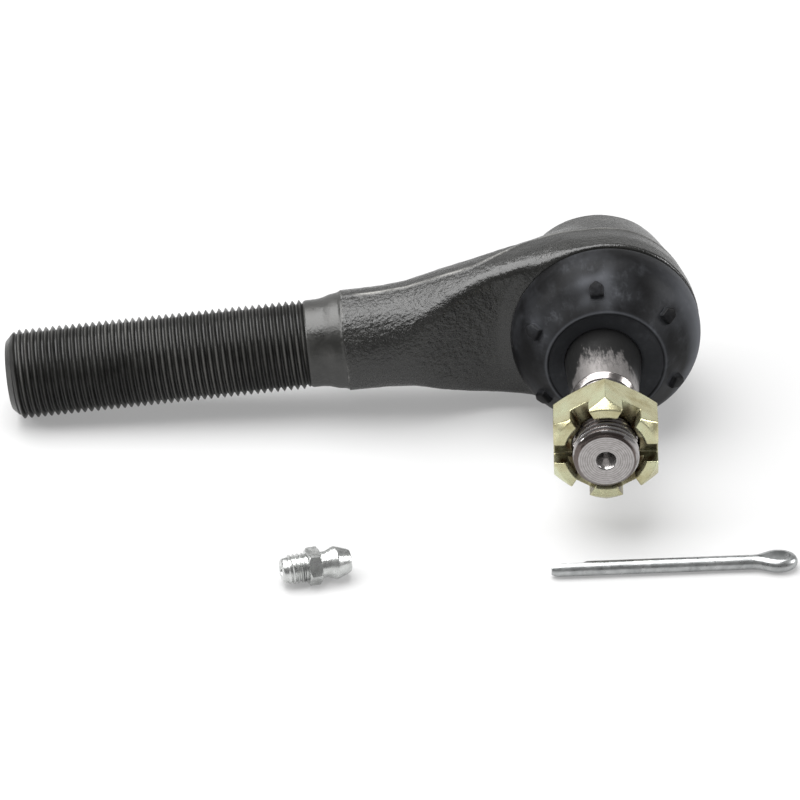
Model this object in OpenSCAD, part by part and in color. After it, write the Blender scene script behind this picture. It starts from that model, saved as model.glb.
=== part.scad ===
// Tie rod end lying on its side, with its loose grease fitting and cotter pin beside it.
// Row frame: origin at the ball centre, -Y out of the socket towards the stud,
// -X along the threaded shank, +Z up. All lengths in millimetres.

/* [Shank] */
// Major diameter of the shank thread
shank_d = 20; // [14:0.5:30]
// Thread pitch on the shank
shank_pitch = 1.5; // [1:0.25:3]
// Number of full thread crests on the shank
shank_crests = 43; // [11:2:81]
// Distance from the ball centre to the shank's end
shank_length = 133.4; // [90:0.1:220]
// Height of the shank's axis over the ball centre, at the ball
axis_rise = 0.8; // [-2:0.1:2]
// Diameter of the plain neck behind the thread
neck_d = 19.6; // [12:0.1:29]
// Diameter of the round forged part after the shoulder
root_d = 22.6; // [14:0.5:32]

/* [Socket] */
// Largest radius of the socket, at its front rim
rim_r = 21.3; // [18:0.1:26]
// Radius of the socket's back rim
back_r = 17.4; // [16.5:0.1:22]
// Front rim, measured from the ball centre
rim_s = 5.6; // [5:0.1:9]
// Depth of the socket behind the ball centre
back_s = 16.4; // [13:0.1:20]
// Depth of the neck's flat face in front of the shank axis, next to the socket
web_front = 5.3; // [4:0.1:9]
// Depth of the neck's flat face behind the shank axis
web_back = 9.2; // [5:0.1:10]

/* [Ball stud] */
// Radius of the ball
ball_r = 12.5; // [10:0.1:14]
// Major diameter of the stud thread
stud_d = 14; // [10:1:16]
// Distance from the ball centre to the stud's tip
stud_length = 59.5; // [45:0.1:80]
// Start of the stud thread, from the ball centre
thread_s = 37.5; // [30:0.1:60]
// Large diameter of the taper
taper_d = 17; // [13:0.1:18]
// Small diameter of the taper
taper_small_d = 14.5; // [12:0.1:16]
// How far the stud leans towards the shank at rest, in degrees
rest_swing = 5.1; // [0:0.1:12]
// Diameter of the hole for the cotter pin
pin_hole_d = 3.8; // [2.5:0.1:5]

/* [Castle nut] */
// Width across the flats
nut_af = 22; // [17:1:24]
// Overall height
nut_h = 10.6; // [8:0.1:20]
// Back face of the nut, from the ball centre
nut_s = 46.2; // [38:0.1:60]
// Slot width
slot_w = 4.4; // [2.5:0.1:5]
// Slot depth
slot_depth = 4; // [2:0.1:8]
// How far the nut and the pin hole behind it are turned about the stud, in degrees
nut_turn = 2.5; // [-30:0.5:30]

/* [Dust boot] */
// Radius of the boot's mouth
mouth_r = 13; // [10:0.1:16]
// Plane of the boot's mouth, from the ball centre
mouth_s = 20.8; // [16:0.1:28]
// Number of moulded nubs
nub_count = 6; // [0:1:12]

/* [Cotter pin] */
// Diameter across both legs
cotter_d = 3.1; // [2:0.1:5]
// Length from the eye's far end to the longer leg's tip
cotter_length = 52; // [30:1:80]
// How much shorter the other leg is
cotter_step = 6.5; // [0:0.5:10]

/* [Grease fitting] */
// Overall length
fitting_length = 14.8; // [12:0.1:20]
// Major diameter of its thread
fitting_thread_d = 6.35; // [5:0.05:8]
// Width across the hexagon's flats
fitting_af = 7; // [6:0.1:9]

/* [Hidden] */
$fn = 96;
gap = 0.05;                                   // running and seating clearance
droop = asin((rim_r + axis_rise - shank_d / 2) / shank_length);
floor_z = -rim_r;
shank_r = shank_d / 2;
thread_depth = 0.61 * shank_pitch;
crest_w = shank_pitch / 8;
end_chamfer = 2.3;
first_crest_l = shank_length - 2.9;
last_crest_l = first_crest_l - (shank_crests - 1) * shank_pitch;
shoulder_l = last_crest_l - 9.4;
beam_l = shoulder_l - 12;
flare_end_l = 5.2;
flare_end_r = 20.3;
bore_r = 14.4;
cover_r = 15.4;
opening_r = 11;
cover_front_s = -back_s + 2.4;
cover_back_s = -back_s + 0.8;
port_r = 2.8;
port_back_s = -back_s - 3.2;
boss_r = 17.8;
boss_s = 10.4;
boot_lean = 0.66 * rest_swing;                // the boot's mouth follows the stud part of the way
stud_r = stud_d / 2;
stud_neck_r = 7.6;
nut_corner = nut_af / sqrt(3);
crown_r = 10.8;
crown_bore_r = 8.9;
hole_s = nut_s + nut_h - slot_depth + pin_hole_d / 2;
wire_r = cotter_d / 2;
eye_length = 8.3;
eye_width = 6.2;
cotter_at = [-17.3, -70, floor_z + wire_r + 0.02];
cotter_turn = 0.7;
fitting_at = [-73.8, -70.3, floor_z + fitting_af / 2 + 0.02];
fitting_turn = 12.5;
channel_r = 1.05;
chamber_r = 1.75;
check_ball_r = 1.2;
check_seat_s = fitting_length - 1.1 - check_ball_r;

// Local +Z along the socket axis, out of the socket.
module on_socket() { rotate([90, 0, 0]) children(); }

// Local +Z along the stud axis, towards the nut.
module on_stud() { rotate([0, 0, -rest_swing]) rotate([90, 0, 0]) children(); }

// Local +Z along the axis of the boot's mouth.
module on_boot() { rotate([0, 0, -boot_lean]) rotate([90, 0, 0]) children(); }

// Local +Z along the shank, towards its end; local +X is up.
module on_shank() { translate([0, 0, axis_rise]) rotate([0, -90 - droop, 0]) children(); }

// Solid of revolution from points of radius and height.
module turned(points) { rotate_extrude() polygon(points); }

// ---- housing ----

module shank_thread() {
    r0 = shank_r - thread_depth;
    flank = (shank_pitch - 2 * crest_w) / 2;
    ridges = [for (i = [0 : shank_crests - 1]) let (l = last_crest_l + i * shank_pitch)
        each [[r0, l - crest_w / 2 - flank], [shank_r, l - crest_w / 2],
              [shank_r, l + crest_w / 2], [r0, l + crest_w / 2 + flank]]];
    turned(concat([[0, last_crest_l - shank_pitch]],
                  [[r0, last_crest_l - shank_pitch]],
                  ridges,
                  [[r0, shank_length - end_chamfer + 0.9],
                   [shank_r - end_chamfer + 0.1, shank_length], [0, shank_length]]));
}

// Plain neck, concave flare and shoulder, then the cone that widens to the socket.
module shank_root() {
    root_r = root_d / 2;
    turned([[0, flare_end_l], [flare_end_r, flare_end_l], [root_r, beam_l],
            [root_r - 0.2, shoulder_l + 0.2], [root_r - 0.9, shoulder_l + 0.9],
            [neck_d / 2 + 0.35, shoulder_l + 2.4], [neck_d / 2, shoulder_l + 4.4],
            [neck_d / 2, last_crest_l - 1.2], [shank_r - thread_depth, last_crest_l - 0.9],
            [0, last_crest_l - 0.9]]);
}

// Side outline that flattens the cone into the forged web.
module web_slab() {
    t = root_d / 2 + 1;
    rotate([0, -90, 0]) linear_extrude(60, center = true)
        polygon([[0, -web_front], [beam_l - 20, -web_front], [beam_l + 1, -t], [beam_l + 40, -t],
                 [beam_l + 40, t], [beam_l, t], [beam_l - 13, web_back], [0, web_back]]);
}

module socket_shell() {
    turned([[0, -back_s - 0.6], [back_r - 1.6, -back_s - 0.6], [back_r - 0.5, -back_s],
            [back_r + 0.9, -back_s + 5], [rim_r - 0.5, -0.6], [rim_r - 0.2, 1],
            [rim_r, rim_s - 0.8], [rim_r - 0.8, rim_s], [boss_r, rim_s],
            [boss_r, boss_s - 0.5], [boss_r - 0.5, boss_s], [0, boss_s]]);
}

module socket_bore() {
    lip_r = cover_r - 1.9;
    turned([[0, -back_s - 2], [lip_r, -back_s - 2], [lip_r, cover_back_s],
            [cover_r, cover_back_s], [cover_r, cover_front_s], [bore_r, cover_front_s],
            [bore_r, 1], [opening_r, 6.7], [12.8, boss_s + 1], [0, boss_s + 1]]);
}

module housing() {
    color([0.33, 0.33, 0.32]) difference() {
        union() {
            on_shank() {
                shank_thread();
                intersection() { shank_root(); web_slab(); }
            }
            on_socket() socket_shell();
        }
        on_socket() socket_bore();
    }
}

// ---- socket internals ----

module upper_bearing() {
    r = bore_r - gap;
    color([0.86, 0.84, 0.76]) on_socket() difference() {
        turned([[0, -0.6], [r, -0.6], [r, 1 - gap], [opening_r + 0.5, 5.6], [0, 5.6]]);
        sphere(ball_r + gap);
        for (a = [0 : 60 : 300]) rotate([0, 0, a + 30]) translate([ball_r, 0, 0.2])
            cube([1.1, 1.4, 1.8], center = true);
    }
}

module lower_bearing() {
    r = bore_r - gap;
    color([0.86, 0.84, 0.76]) on_socket() difference() {
        turned([[0, -11.4], [6, -11.4], [6, -12.9], [9.4, -12.9], [9.4, -11.4], [r - 2.4, -11.4],
                [r, -9.4], [r, -1.2], [0, -1.2]]);
        sphere(ball_r + gap);
        for (a = [0 : 90 : 270]) rotate([0, 0, a]) translate([0, -0.7, -13])
            cube([9.5, 1.4, 2.4]);
    }
}

// Conical spring washer between the pressure seat and the cover.
module preload_spring() {
    color([0.52, 0.54, 0.58]) on_socket()
        turned([[9.8, -11.5], [13.9, -12.9], [13.9, -13.5], [9.8, -12.1]]);
}

module cover_plate() {
    color([0.56, 0.57, 0.58]) on_socket() difference() {
        turned([[0, port_back_s], [5.2, port_back_s], [6, port_back_s + 0.8],
                [6.4, cover_back_s + gap], [cover_r - gap, cover_back_s + gap],
                [cover_r - gap, cover_front_s - gap], [0, cover_front_s - gap]]);
        translate([0, 0, port_back_s - 1]) cylinder(h = 8, r = port_r);
        translate([0, 0, port_back_s - 0.01]) cylinder(h = 0.6, r1 = port_r + 0.6, r2 = port_r);
    }
}

// ---- ball stud ----

module stud_profile() {
    turned([[0, 0], [stud_neck_r, 0], [stud_neck_r, 15.6], [taper_d / 2, 18.4],
            [taper_small_d / 2, thread_s - 1.8], [stud_r - 0.5, thread_s - 0.4],
            [stud_r - 0.9, thread_s - 0.2], [stud_r - 0.9, thread_s + 0.2],
            [stud_r - 0.05, thread_s + 1.1],
            [stud_r - 0.05, stud_length - 1.35], [stud_r - 1.35, stud_length],
            [0, stud_length]]);
}

module ball_stud() {
    color([0.66, 0.66, 0.66]) on_stud() difference() {
        union() {
            sphere(ball_r);
            stud_profile();
        }
        translate([0, 0, -ball_r - 1]) cylinder(h = 2.2, r = 4.6);
        translate([0, 0, hole_s]) rotate([0, 0, nut_turn]) rotate([0, 90, 0])
            cylinder(h = 20, d = pin_hole_d, center = true);
        translate([0, 0, stud_length - 2.6]) cylinder(h = 2.61, r1 = 0.75, r2 = 2.15);
        translate([0, 0, stud_length - 4]) cylinder(h = 2, r = 0.75);
    }
}

// ---- dust boot ----

module boot_base_ring() {
    color([0.45, 0.46, 0.48]) on_socket()
        turned([[boss_r + gap, rim_s + 0.35], [boss_r + 1, rim_s + 0.35],
                [boss_r + 1, boss_s - 0.5], [boss_r + gap, boss_s - 0.5]]);
}

// The boot leans with the stud: its bowl is on the socket's axis, its mouth leans part of the
// way, and the bore that seals on the stud is on the stud's axis.
module boot_bowl() {
    turned([[boss_r + 1 + gap, rim_s + 0.3], [rim_r - 0.6, rim_s + 0.3], [rim_r - 0.1, rim_s + 1.2],
            [rim_r - 0.1, rim_s + 3], [20.8, 11.8], [19.8, 13.7], [18.1, 15.7], [14.2, 15.7],
            [16.4, 13], [17.6, 10.8], [boss_r + 1 + gap, 10.3]]);
}

module boot_neck() {
    turned([[0, 14.3], [11.2, 14.2], [13.6, 15], [15, 13], [17, 13], [16.6, 16.4],
            [15.2, 18.9], [mouth_r + 0.5, mouth_s - 0.4], [mouth_r, mouth_s],
            [mouth_r - 0.4, mouth_s], [mouth_r - 0.6, mouth_s - 0.3], [0, 20]]);
}

// Moulded lug with a house-shaped end, its point away from the mouth.
module boot_nub() {
    translate([15.3, 0, 15.3]) rotate([0, 42, 0]) linear_extrude(3.6) offset(0.4, $fn = 24)
        polygon([[-1.3, -1.1], [0.5, -1.1], [1.4, 0], [0.5, 1.1], [-1.3, 1.1]]);
}

module dust_boot() {
    color([0.11, 0.11, 0.12]) difference() {
        union() {
            on_socket() boot_bowl();
            on_boot() {
                boot_neck();
                for (i = [0 : nub_count - 1]) rotate([0, 0, 98 + i * 360 / nub_count]) boot_nub();
            }
        }
        on_stud() {
            translate([0, 0, 12]) cylinder(h = 10, r = 8.75);
            turned([[10.1 - gap, 13], [10.9 + gap, 13], [10.9 + gap, 17], [10.1 - gap, 17]]);
        }
    }
}

module boot_neck_ring() {
    color([0.45, 0.46, 0.48]) on_stud()
        turned([[10.1, 15.4], [10.9, 15.4], [10.9, 16.9], [10.1, 16.9]]);
}

// ---- castle nut ----

module castle_nut() {
    chamfer_h = nut_corner - crown_r;
    color([0.72, 0.69, 0.5]) on_stud() translate([0, 0, nut_s]) rotate([0, 0, nut_turn]) difference() {
        intersection() {
            rotate([0, 0, 90]) cylinder(h = nut_h, r = nut_corner, $fn = 6);
            turned([[0, 0], [nut_af / 2 - 0.3, 0], [nut_corner + 0.1, 0.9],
                    [nut_corner + 0.1, nut_h - 1.1 * chamfer_h], [crown_r, nut_h], [0, nut_h]]);
        }
        translate([0, 0, -1]) cylinder(h = nut_h + 2, r = stud_r + gap);
        translate([0, 0, -0.01]) cylinder(h = 0.8, r1 = stud_r + 0.8, r2 = stud_r);
        translate([0, 0, nut_h - 2.6]) cylinder(h = 3, r = 8.4);
        translate([0, 0, nut_h - 0.6]) cylinder(h = 0.61, r1 = 8.4, r2 = crown_bore_r);
        for (a = [0 : 60 : 120]) rotate([0, 0, a])
            translate([-20, -slot_w / 2, nut_h - slot_depth]) cube([40, slot_w, 10]);
    }
}

// ---- cotter pin: local +X along the legs towards the eye ----

module half_leg(length, side) {
    rotate([0, 90, 0]) intersection() {
        union() {
            translate([0, 0, 1.2]) cylinder(h = length - 1.2, r = wire_r, $fn = 48);
            cylinder(h = 1.2, r1 = wire_r * 0.62, r2 = wire_r, $fn = 48);
        }
        translate([-5, side > 0 ? 0.06 : -5.06, -1]) cube([10, 5, length + 2]);
    }
}

// Flat ring of half-round wire; its flat side is the inside of the loop.
module cotter_eye() {
    scale([eye_length / eye_width, 1, 1]) rotate([0, 0, 34 - 180]) rotate_extrude(angle = 292)
        intersection() {
            translate([eye_width / 2 - wire_r, 0]) circle(r = wire_r, $fn = 48);
            translate([eye_width / 2 - wire_r, -5]) square([5, 10]);
        }
}

module cotter_pin() {
    eye_x = cotter_length - eye_length / 2;
    color([0.74, 0.74, 0.72]) translate(cotter_at) rotate([0, 0, cotter_turn]) {
        half_leg(eye_x - eye_length * 0.33, -1);
        translate([cotter_step, 0, 0]) half_leg(eye_x - eye_length * 0.33 - cotter_step, 1);
        translate([eye_x, 0, 0]) cotter_eye();
    }
}

// ---- grease fitting: local +Z from its thread to its nose ----

module on_fitting() { translate(fitting_at) rotate([0, 0, fitting_turn]) rotate([0, 90, 0]) children(); }

module grease_fitting_body() {
    r = fitting_thread_d / 2;
    color([0.78, 0.78, 0.76]) on_fitting() difference() {
        union() {
            turned([[0, 0], [r - 1, 0], [r - 0.65, 0.35], [r - 0.6, 1.1], [r, 1.6], [r, 4.7],
                    [2.75, 5.2], [2.75, 9.7],
                    [3.5, 11.5], [3.5, 11.9], [2.4, 14.6], [2.3, fitting_length], [0, fitting_length]]);
            translate([0, 0, 5.4]) intersection() {
                rotate([0, 0, 30]) cylinder(h = 2.9, r = fitting_af / sqrt(3), $fn = 6);
                turned([[0, 0], [fitting_af / 2 + 0.1, 0], [fitting_af / sqrt(3), 0.4],
                        [fitting_af / sqrt(3), 2.5], [fitting_af / 2 + 0.1, 2.9], [0, 2.9]]);
            }
        }
        translate([0, 0, -1]) cylinder(h = 3, r = channel_r);
        translate([0, 0, 1.6]) cylinder(h = check_seat_s - 1.6, r = chamber_r - 0.3);
        translate([0, 0, check_seat_s - 0.01])
            cylinder(h = check_ball_r * 0.8, r1 = chamber_r - 0.3, r2 = 0.85);
        translate([0, 0, fitting_length - 2]) cylinder(h = 3, r = 0.85);
    }
}

module grease_fitting_ball() {
    color([0.8, 0.8, 0.8]) on_fitting() translate([0, 0, check_seat_s - 0.35])
        sphere(check_ball_r, $fn = 48);
}

// Coil spring swept as a closed tube: rings of points along a helix.
module grease_fitting_spring() {
    turns = 5;
    steps = 20;
    sides = 8;
    coil_r = 1.05;
    tube_r = 0.17;
    s0 = 1.85;
    rise = check_seat_s - 0.35 - check_ball_r - 0.1 - tube_r - s0;
    n = turns * steps;
    points = [for (i = [0 : n], k = [0 : sides - 1])
        let (a = 360 * i / steps, b = 360 * k / sides, r = coil_r + tube_r * cos(b))
        [r * cos(a), r * sin(a), s0 + rise * i / n + tube_r * sin(b)]];
    skin = [for (i = [0 : n - 1], k = [0 : sides - 1])
        let (p = i * sides + k, q = i * sides + (k + 1) % sides) [p, q, q + sides, p + sides]];
    ends = [[for (k = [0 : sides - 1]) sides - 1 - k], [for (k = [0 : sides - 1]) n * sides + k]];
    color([0.6, 0.62, 0.64]) on_fitting() polyhedron(points, concat(skin, ends), convexity = 8);
}

housing();
upper_bearing();
lower_bearing();
preload_spring();
cover_plate();
ball_stud();
boot_base_ring();
dust_boot();
boot_neck_ring();
castle_nut();
cotter_pin();
grease_fitting_body();
grease_fitting_ball();
grease_fitting_spring();
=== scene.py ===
import math

import bmesh
import bpy
import numpy as np
from mathutils import Matrix, Vector


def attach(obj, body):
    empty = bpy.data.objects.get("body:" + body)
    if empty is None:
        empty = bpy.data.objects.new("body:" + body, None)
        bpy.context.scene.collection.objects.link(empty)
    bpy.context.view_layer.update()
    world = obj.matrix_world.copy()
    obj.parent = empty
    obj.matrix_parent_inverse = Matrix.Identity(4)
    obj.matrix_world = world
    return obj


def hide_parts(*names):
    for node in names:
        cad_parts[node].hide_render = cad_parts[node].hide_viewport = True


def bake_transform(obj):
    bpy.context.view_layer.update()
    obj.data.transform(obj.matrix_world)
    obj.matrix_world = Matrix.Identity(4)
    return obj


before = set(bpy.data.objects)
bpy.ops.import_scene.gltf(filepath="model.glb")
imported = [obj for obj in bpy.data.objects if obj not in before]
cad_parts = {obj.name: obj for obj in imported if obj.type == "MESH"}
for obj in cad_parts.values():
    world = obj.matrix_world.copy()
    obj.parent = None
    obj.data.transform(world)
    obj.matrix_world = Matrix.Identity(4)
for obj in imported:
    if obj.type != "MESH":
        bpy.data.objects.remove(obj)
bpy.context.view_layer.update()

# ---------------------------------------------------------------- sizes, in mm and degrees
# Names end in _R for a radius, in _S for a distance from the ball's centre along the socket's,
# boot's or stud's axis, and in _L for one along the shank's axis or for a whole length.
# BOOT_BEND holds the two heights between which the boot bends.
MM = 0.001
SHANK_R = 10.0
PITCH = 1.5
CRESTS = 43
THREAD_DEPTH = 0.61 * PITCH
SHANK_L = 133.4
AXIS_RISE = 0.8
NECK_R = 9.8
ROOT_R = 11.3
RIM_R = 21.3
RIM_S = 5.6
BACK_R = 17.4
BACK_S = 16.4
WEB_FRONT = 5.3
WEB_BACK = 9.2
FLARE_END_L = 5.2
FLARE_END_R = 20.3
DROOP = math.degrees(math.asin((RIM_R + AXIS_RISE - SHANK_R) / SHANK_L))
FIRST_L = SHANK_L - 2.9
LAST_L = FIRST_L - (CRESTS - 1) * PITCH
SHOULDER_L = LAST_L - 9.4
BEAM_L = SHOULDER_L - 12
BORE_R = 14.4
COVER_R = 15.4
OPENING_R = 11.0
BOSS_R = 17.8
BOSS_S = 10.4
COVER_FRONT = -BACK_S + 2.4
COVER_BACK = -BACK_S + 0.8
BALL_R = 12.5
STUD_R = 7.0
STUD_L = 59.5
STUD_PITCH = 1.5
STUD_NECK_R = 7.6
THREAD_S = 37.5
TAPER_R = 8.5
TAPER_SMALL_R = 7.25
SWING = 5.1
BOOT_LEAN = 0.66 * SWING
PIN_HOLE_R = 1.9
NUT_AF = 22.0
NUT_H = 10.6
NUT_S = 46.2
NUT_TURN = 2.5
SLOT_W = 4.4
SLOT_D = 4.0
CROWN_R = 10.8
HOLE_S = NUT_S + NUT_H - SLOT_D + PIN_HOLE_R
MOUTH_R = 13.0
MOUTH_S = 20.8
NUBS = 6
NUB_TURN = 98.4
NUB_TILT = 42
NUB_R = 15.9
NUB_S = 15.95
BOOT_BEND = (9.5, 17.0)
WIRE_R = 1.55
COTTER_L = 52.0
COTTER_STEP = 6.5
EYE_L = 8.3
EYE_W = 6.2
COTTER_AT = (-17.3, -70.0, -RIM_R + WIRE_R + 0.02)
COTTER_TURN = 0.7
FIT_L = 14.8
FIT_AF = 7.0
FIT_R = 3.175
FIT_CORE_R = 2.6
FIT_HEX = (5.4, 8.3)
FIT_AT = (-73.8, -70.3, -RIM_R + FIT_AF / 2 + 0.02)
FIT_TURN = 12.5


# ---------------------------------------------------------------- frames
def turn(axis, degrees):
    """A rotation about one of the row frame's axes."""
    return np.array(Matrix.Rotation(math.radians(degrees), 3, axis))


SOCKET = turn("X", 90)
STUD = turn("Z", -SWING) @ SOCKET
BOOT = turn("Z", -BOOT_LEAN) @ SOCKET
SHANK = turn("Y", -90 - DROOP)
FITTING = turn("Z", FIT_TURN) @ turn("Y", 90)
COTTER = turn("Z", COTTER_TURN)
ORIGIN = (0.0, 0.0, 0.0)
SHANK_AT = (0.0, 0.0, AXIS_RISE)


def placed(points, basis=SOCKET, at=ORIGIN):
    """Points in a part's own frame, in mm, as points of the row frame, still in mm."""
    return np.asarray(points, float) @ basis.T + np.asarray(at, float)


# ---------------------------------------------------------------- meshes
def mesh_object(name, points, faces, sharp):
    """A smooth object from points in mm, with creases where faces turn by more than sharp."""
    mesh = bpy.data.meshes.new(name)
    mesh.from_pydata((np.asarray(points) * MM).tolist(), [], [list(map(int, f)) for f in faces])
    mesh.validate()
    bm = bmesh.new()
    bm.from_mesh(mesh)
    bmesh.ops.remove_doubles(bm, verts=bm.verts, dist=2e-7)
    bmesh.ops.recalc_face_normals(bm, faces=bm.faces)
    bm.to_mesh(mesh)
    bm.free()
    for p in mesh.polygons:
        p.use_smooth = True
    mesh.set_sharp_from_angle(angle=math.radians(sharp))
    obj = bpy.data.objects.new(name, mesh)
    bpy.context.scene.collection.objects.link(obj)
    return obj


def weld_objects(name, objects, body, node):
    """One object from several, on a body and standing for a CAD node."""
    bpy.ops.object.select_all(action="DESELECT")
    for o in objects:
        o.select_set(True)
    bpy.context.view_layer.objects.active = objects[0]
    bpy.ops.object.join()
    o = bpy.context.view_layer.objects.active
    o.name = name
    o.data.name = name
    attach(o, body)
    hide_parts(node)


def soften(points, radius, steps=4, closed=False):
    """A profile with its corners rounded off by about that radius."""
    pts = [np.array(p, float) for p in points]
    out = []
    n = len(pts)
    for i, p in enumerate(pts):
        if not closed and i in (0, n - 1):
            out.append(p)
            continue
        a, b = pts[i - 1] - p, pts[(i + 1) % n] - p
        la, lb = np.linalg.norm(a), np.linalg.norm(b)
        r = radius[i] if isinstance(radius, (list, tuple)) else radius
        cut = min(r, 0.45 * la, 0.45 * lb)
        if cut < 1e-6:
            out.append(p)
            continue
        s, e = p + a / la * cut, p + b / lb * cut
        for t in np.linspace(0, 1, steps + 1):
            out.append((1 - t) ** 2 * s + 2 * t * (1 - t) * p + t * t * e)
    return np.array(out)


def lattice(rings, along=False):
    """Vertices and quads of closed rings of points, an array of shape (rings, points, 3). With
    along, the last ring is joined to the first."""
    nr, na = rings.shape[:2]
    faces = []
    for i in range(nr if along else nr - 1):
        a, b = i * na, ((i + 1) % nr) * na
        for k in range(na):
            q = (k + 1) % na
            faces.append((a + k, a + q, b + q, b + k))
    return rings.reshape(-1, 3), faces


def circle(radius, height, a):
    """Points round the local Z axis at angles a."""
    return np.stack([radius * np.cos(a), radius * np.sin(a), np.broadcast_to(height, a.shape)], 1)


def lathe(profile, n=160):
    """Rings turned round the local Z axis from points of radius and height."""
    a = np.linspace(0, 2 * math.pi, n, endpoint=False)
    return np.array([circle(r, s, a) for r, s in profile])


def join_parts(parts):
    """Several lots of points and faces as one."""
    points, faces, start = [], [], 0
    for p, f in parts:
        points.append(p)
        faces += [tuple(i + start for i in q) for q in f]
        start += len(p)
    return np.concatenate(points), faces


def turned(profile, n=160, radius=0.12, steps=3):
    """A turned surface from points of radius and height, its corners rounded by radius."""
    return lattice(lathe(soften(profile, radius, steps), n))


def helix(profile, pitch, start, stop, limit, n=144, phase=0.0):
    """A right-hand screw surface. The profile is radius against height over one pitch, and
    limit(s) is the largest radius at a height; heights are held between start and stop."""
    prof = np.array(profile, float)
    turns = int(math.ceil((stop - start) / pitch)) + 2
    a = np.linspace(0, 2 * math.pi, n, endpoint=False)
    rows = []
    for t in range(turns):
        for r, h in prof:
            s = start - pitch + t * pitch + h + pitch * (a + phase) / (2 * math.pi)
            c = np.clip(s, start, stop)
            rows.append(circle(np.minimum(r, limit(c)), c, a))
    rings = np.array(rows)
    per = len(prof)
    nr = len(rings)
    faces = []
    for i in range(nr - 1):
        for k in range(n):
            if k < n - 1:
                faces.append((i * n + k, i * n + k + 1, (i + 1) * n + k + 1, (i + 1) * n + k))
            elif i + per + 1 < nr:
                faces.append((i * n + k, (i + per) * n, (i + per + 1) * n, (i + 1) * n + k))
    return rings.reshape(-1, 3), faces


def thread_profile(major, depth, pitch, crest=0.125, root=0.2, rounding=0.07):
    """One pitch of a 60 degree thread, its crest a little rounded, as radius against height."""
    c, b = crest * pitch / 2, root * pitch / 2
    half = pitch / 2
    return [(major - depth, 0.0), (major - depth, b), (major - depth * 0.5, (b + half - c) / 2),
            (major - rounding, half - c - 0.01), (major, half - c * 0.3), (major, half + c * 0.3),
            (major - rounding, half + c + 0.01), (major - depth * 0.5, pitch - (b + half - c) / 2),
            (major - depth, pitch - b)]


# ---------------------------------------------------------------- distance fields
def smin(a, b, k):
    """The smaller of two distances, rounded over about k where they meet."""
    h = np.clip(0.5 + 0.5 * (b - a) / k, 0, 1)
    return b * (1 - h) + a * h - k * h * (1 - h)


def smax(a, b, k):
    """The larger of two distances, rounded over about k where they meet."""
    return -smin(-a, -b, k)


def outline_distance(r, s, pts):
    """Signed distance to a closed outline in radius and height, negative inside."""
    pts = np.asarray(pts, float)
    best = np.full(r.shape, 1e9)
    inside = np.zeros(r.shape, bool)
    for i in range(len(pts)):
        (x0, y0), (x1, y1) = pts[i - 1], pts[i]
        dx, dy = x1 - x0, y1 - y0
        t = np.clip(((r - x0) * dx + (s - y0) * dy) / max(dx * dx + dy * dy, 1e-12), 0, 1)
        best = np.minimum(best, (r - x0 - t * dx) ** 2 + (s - y0 - t * dy) ** 2)
        if abs(dy) > 1e-12:
            cross = ((y0 > s) != (y1 > s)) & (r < dx * (s - y0) / dy + x0)
            inside ^= cross
    return np.where(inside, -1, 1) * np.sqrt(best)


def net(field, low, high, step, pulls=3):
    """A quad surface where field(points) is zero, inside a box."""
    axes = [np.arange(low[i], high[i] + step, step) for i in range(3)]
    shape = tuple(len(a) for a in axes)
    values = np.empty(shape)
    for i, x in enumerate(axes[0]):
        y, z = np.meshgrid(axes[1], axes[2], indexing="ij")
        pts = np.stack([np.full(y.size, x), y.ravel(), z.ravel()], 1)
        values[i] = field(pts).reshape(y.shape)
    solid = values < 0
    corners = [(i, j, k) for i in (0, 1) for j in (0, 1) for k in (0, 1)]

    def shifted(a, c):
        return a[c[0]:shape[0] - 1 + c[0], c[1]:shape[1] - 1 + c[1], c[2]:shape[2] - 1 + c[2]]

    count = sum(shifted(solid, c).astype(int) for c in corners)
    active = (count > 0) & (count < 8)
    number = -np.ones(active.shape, int)
    number[active] = np.arange(active.sum())
    cells = np.argwhere(active)
    total, hits = np.zeros((len(cells), 3)), np.zeros(len(cells))
    for a in corners:
        for axis in range(3):
            if a[axis]:
                continue
            b = list(a)
            b[axis] = 1
            va = values[tuple((cells + a).T)]
            vb = values[tuple((cells + b).T)]
            cross = (va < 0) != (vb < 0)
            t = np.where(cross, va / np.where(cross, va - vb, 1), 0)
            p = np.array(a, float) + t[:, None] * (np.array(b) - np.array(a))
            total += p * cross[:, None]
            hits += cross
    points = np.array(low) + step * (cells + total / hits[:, None])
    faces = []
    for axis in range(3):
        u, v = (axis + 1) % 3, (axis + 2) % 3
        lo_slice, hi_slice = [slice(None)] * 3, [slice(None)] * 3
        lo_slice[axis], hi_slice[axis] = slice(0, shape[axis] - 1), slice(1, shape[axis])
        for sl in (lo_slice, hi_slice):
            sl[u], sl[v] = slice(1, shape[u] - 1), slice(1, shape[v] - 1)
        a, b = solid[tuple(lo_slice)], solid[tuple(hi_slice)]
        where = np.argwhere(a != b)
        flip = a[tuple(where.T)]
        base = where.copy()
        base[:, u] += 1
        base[:, v] += 1
        quad = []
        for du, dv in ((0, 0), (-1, 0), (-1, -1), (0, -1)):
            c = base.copy()
            c[:, u] += du
            c[:, v] += dv
            quad.append(number[tuple(c.T)])
        quad = np.stack(quad, 1)
        quad[~flip] = quad[~flip][:, ::-1]
        faces.append(quad)
    faces = np.concatenate(faces)
    for _ in range(pulls):
        e = 0.02
        g = np.stack([(field(points + e * d) - field(points - e * d)) / (2 * e)
                      for d in np.eye(3)], 1)
        move = -(field(points) / np.maximum((g * g).sum(1), 0.2))[:, None] * g
        points = points + np.clip(move, -0.6 * step, 0.6 * step)
    return points, faces.tolist()


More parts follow.
